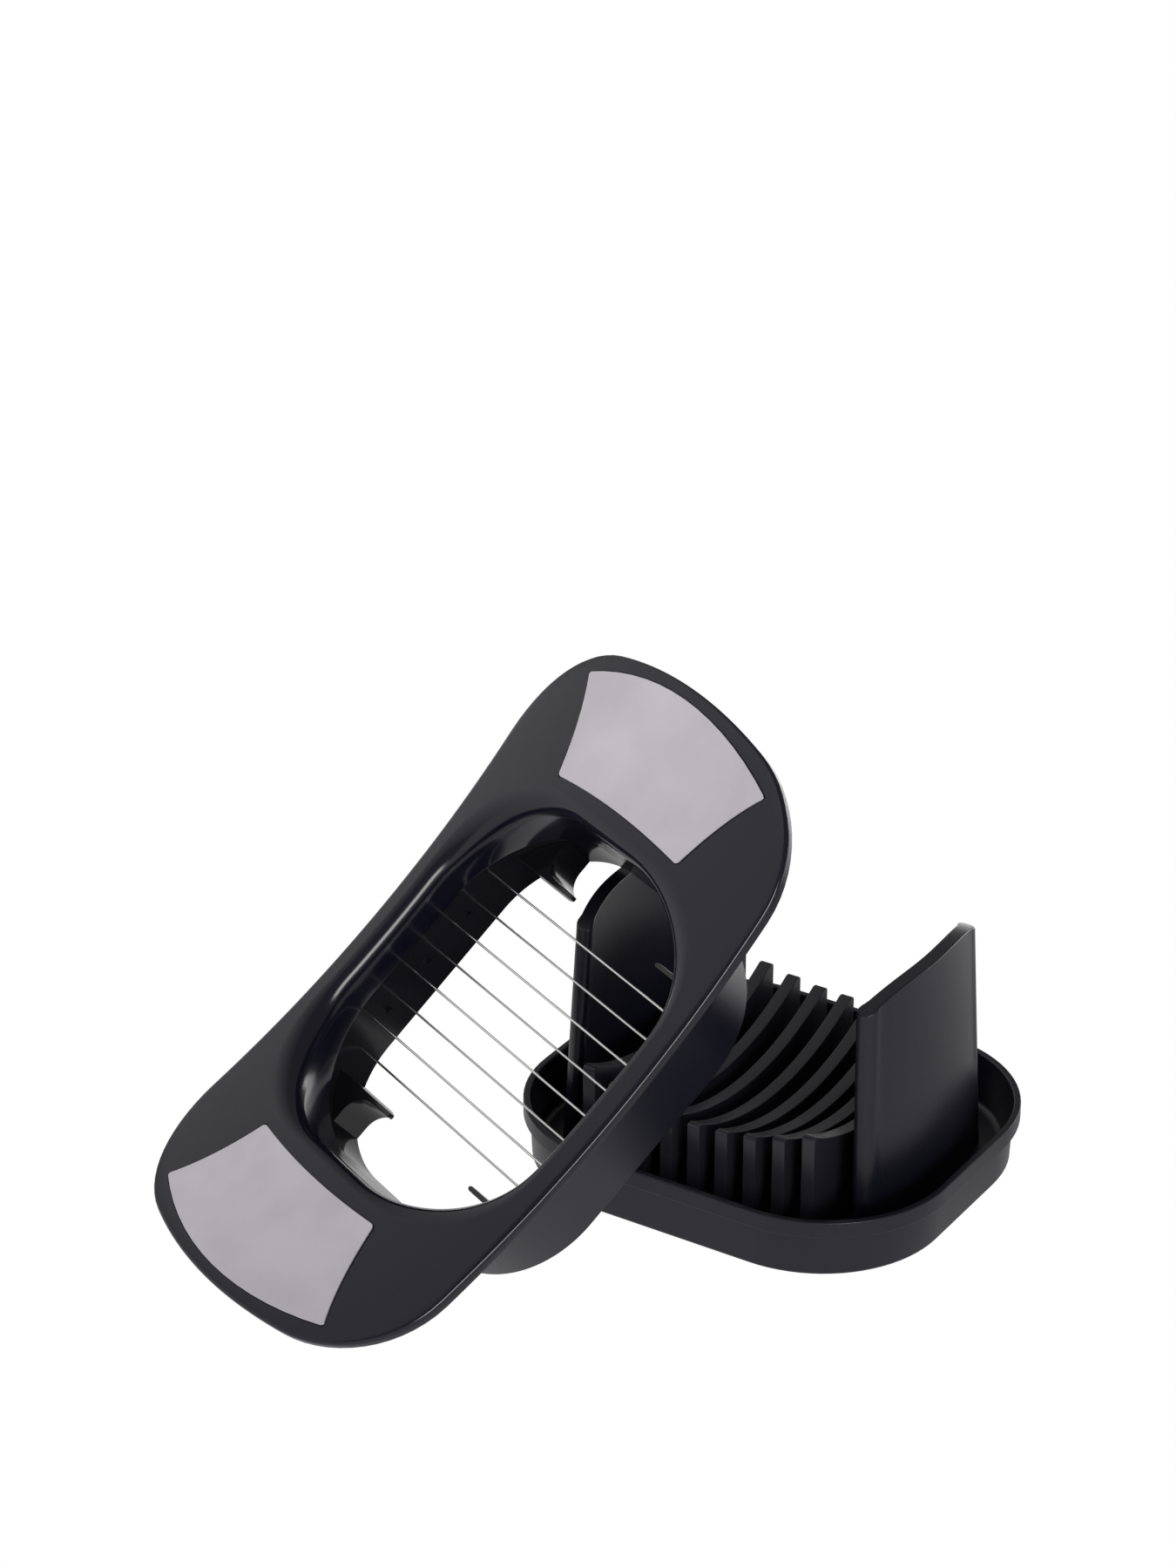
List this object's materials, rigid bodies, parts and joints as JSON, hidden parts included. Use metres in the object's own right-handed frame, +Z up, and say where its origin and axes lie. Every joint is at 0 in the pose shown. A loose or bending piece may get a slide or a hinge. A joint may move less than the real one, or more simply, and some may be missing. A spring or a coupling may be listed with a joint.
{
  "type": "egg slicer",
  "caption": "Oval slatted base with two curved guide towers, and a hand press strung with steel wires that leans on it; pushed down on the base, the press slices a boiled egg.",
  "frame": {"origin": "centre of the underside of the base, on the table", "axes": "+X along the base from the left tower to the right tower, +Y across the base away from the leaning press, +Z up"},
  "size_m": [0.1457, 0.158, 0.1065],
  "materials": {
    "base_plastic": "satin black",
    "slat_plastic": "glossy black",
    "press_plastic": "satin black",
    "inner_plastic": "glossy black",
    "plate_steel": "satin",
    "wire_steel": "bright"
  },
  "bodies": {
    "base": {"base_tray": "base_plastic", "left_tower": "base_plastic", "right_tower": "base_plastic", "slat_1": "slat_plastic", "slat_2": "slat_plastic", "slat_3": "slat_plastic", "slat_4": "slat_plastic", "slat_5": "slat_plastic", "slat_6": "slat_plastic", "slat_7": "slat_plastic", "slat_8": "slat_plastic", "slat_9": "slat_plastic"},
    "press": {"press_frame": "press_plastic", "wire_ring": "inner_plastic", "wire_1": "wire_steel", "wire_2": "wire_steel", "wire_3": "wire_steel", "wire_4": "wire_steel", "wire_5": "wire_steel", "wire_6": "wire_steel", "wire_7": "wire_steel", "wire_8": "wire_steel", "guide_fin_1": "inner_plastic", "guide_fin_2": "inner_plastic", "guide_fin_3": "inner_plastic", "guide_fin_4": "inner_plastic", "upper_grip_plate": "plate_steel", "lower_grip_plate": "plate_steel"}
  },
  "joints": [
    {"name": "press_lift", "type": "slide", "parent": "base", "child": "press", "axis": [-0.2238, -0.6233, 0.7492], "range_m": [0, 0.046]}
  ]
}
